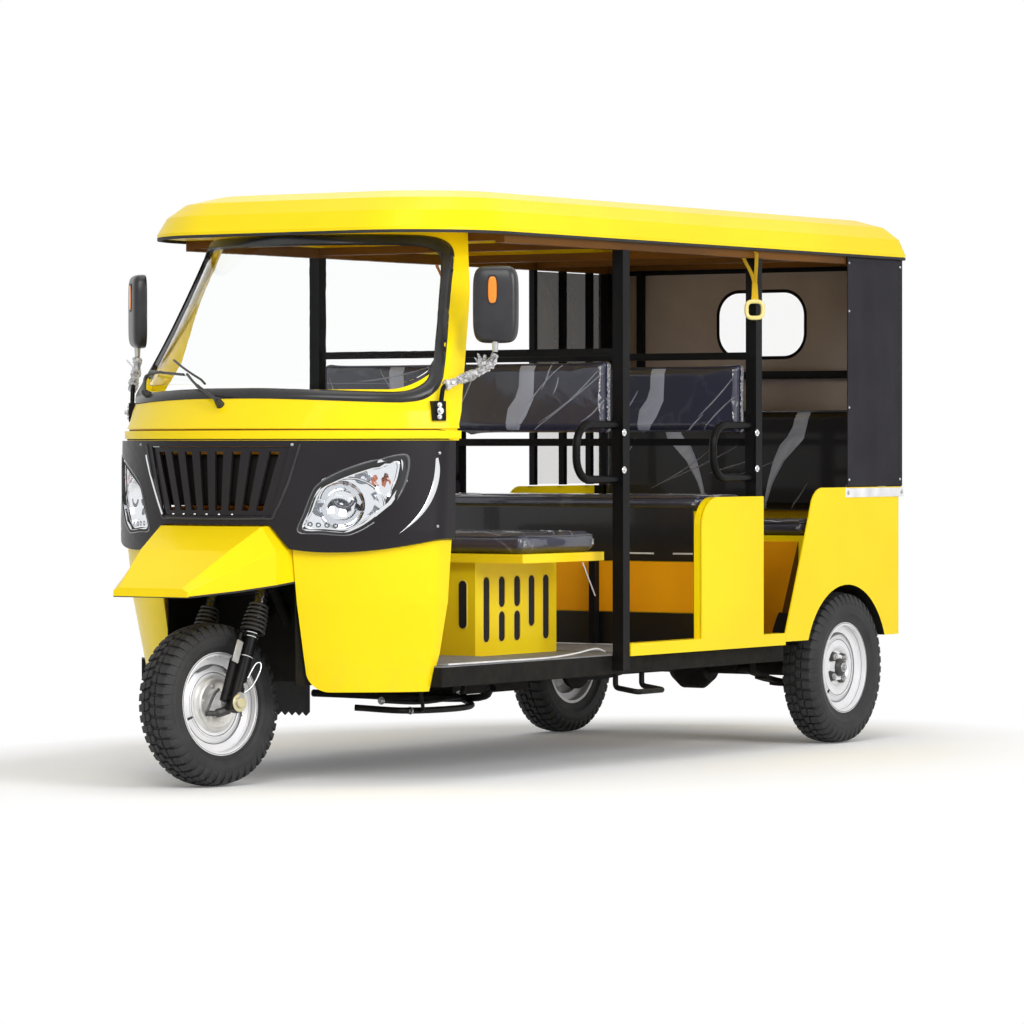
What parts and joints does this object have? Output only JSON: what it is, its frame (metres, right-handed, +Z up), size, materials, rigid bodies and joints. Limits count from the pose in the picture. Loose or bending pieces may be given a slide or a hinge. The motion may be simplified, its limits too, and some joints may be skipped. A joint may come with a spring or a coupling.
{
  "type": "three-wheeled passenger auto rickshaw",
  "caption": "Open-sided passenger three-wheeler with a steered front wheel, a rounded cab front with windscreen, bench seats, hard roof and curtained rear.",
  "frame": {"origin": "on the ground under the middle of the whole length and width", "axes": "-Y towards the front, +X the vehicle's left, +Z up"},
  "size_m": [1.514, 3.59, 1.832],
  "materials": {
    "body_yellow": "gloss",
    "mask_black": "gloss",
    "lamp_clear": "gloss",
    "lamp_shell": "mirror",
    "lamp_red": "gloss",
    "glass": "gloss",
    "clear_film": "gloss",
    "black_tube": "satin",
    "spring_steel": "satin",
    "wheel_silver": "satin",
    "tyre": "matte",
    "rubber": "matte",
    "floor_grey": "matte",
    "engine_metal": "matte",
    "seat_cover": "gloss",
    "curtain_cloth": "matte",
    "strap_web": "matte"
  },
  "bodies": {
    "chassis": {"backrest_rails": "black_tube", "body_posts": "black_tube", "bulkhead": "body_yellow", "chassis_rails": "black_tube", "cowl": "body_yellow", "cross_members": "black_tube", "drip_edge": "mask_black", "driver_backrest": "seat_cover", "driver_cushion": "seat_cover", "engine_block": "engine_metal", "engine_box": "body_yellow", "floor_pan": "floor_grey", "front_fairings": "body_yellow", "front_mudguard": "body_yellow", "grab_handles": "black_tube", "grab_straps": "strap_web", "grille": "mask_black", "head_frame": "black_tube", "headlamp_bodies": "lamp_shell", "headlamp_lenses": "lamp_clear", "leaf_springs": "black_tube", "middle_backrest": "seat_cover", "middle_bench": "body_yellow", "middle_cushion": "seat_cover", "mirror_arms": "black_tube", "mirror_heads": "mask_black", "mud_flap": "rubber", "nose_mask": "mask_black", "quarter_panels": "body_yellow", "rear_axle": "black_tube", "rear_backrest": "seat_cover", "rear_bench": "body_yellow", "rear_curtain": "curtain_cloth", "rear_cushion": "seat_cover", "rear_frame": "black_tube", "rear_panel": "body_yellow", "rear_window": "clear_film", "roof_bows": "black_tube", "roof_rails": "black_tube", "roof_shell": "body_yellow", "side_curtain": "curtain_cloth", "side_film": "clear_film", "side_panels": "body_yellow", "step_bars": "black_tube", "tail_lamps": "lamp_red", "wheel_housing": "mask_black", "windscreen": "glass", "windscreen_gasket": "mask_black"},
    "steering": {"front_fork": "black_tube", "fork_springs": "spring_steel", "front_axle": "spring_steel", "handlebar": "black_tube"},
    "front_road_wheel": {"front_tyre": "tyre", "front_wheel": "wheel_silver"},
    "rear_left_road_wheel": {"rear_tyre_left": "tyre", "rear_wheel_left": "wheel_silver"},
    "rear_right_road_wheel": {"rear_tyre_right": "tyre", "rear_wheel_right": "wheel_silver"}
  },
  "joints": [
    {"name": "steering", "type": "hinge", "parent": "chassis", "child": "steering", "pos_m": [0, -1.505, 0.24817], "axis": [0, 0.4067, 0.9135], "range_deg": [-24.6, 45.4]},
    {"name": "front_wheel_spin", "type": "hinge", "parent": "steering", "child": "front_road_wheel", "pos_m": [0, -1.505, 0.24817], "axis": [0.9836, -0.1649, 0.0734], "continuous": true},
    {"name": "rear_left_spin", "type": "hinge", "parent": "chassis", "child": "rear_left_road_wheel", "pos_m": [0.56, 1.337, 0.262], "axis": [1, 0, 0], "continuous": true},
    {"name": "rear_right_spin", "type": "hinge", "parent": "chassis", "child": "rear_right_road_wheel", "pos_m": [-0.56, 1.337, 0.262], "axis": [1, 0, 0], "continuous": true}
  ]
}
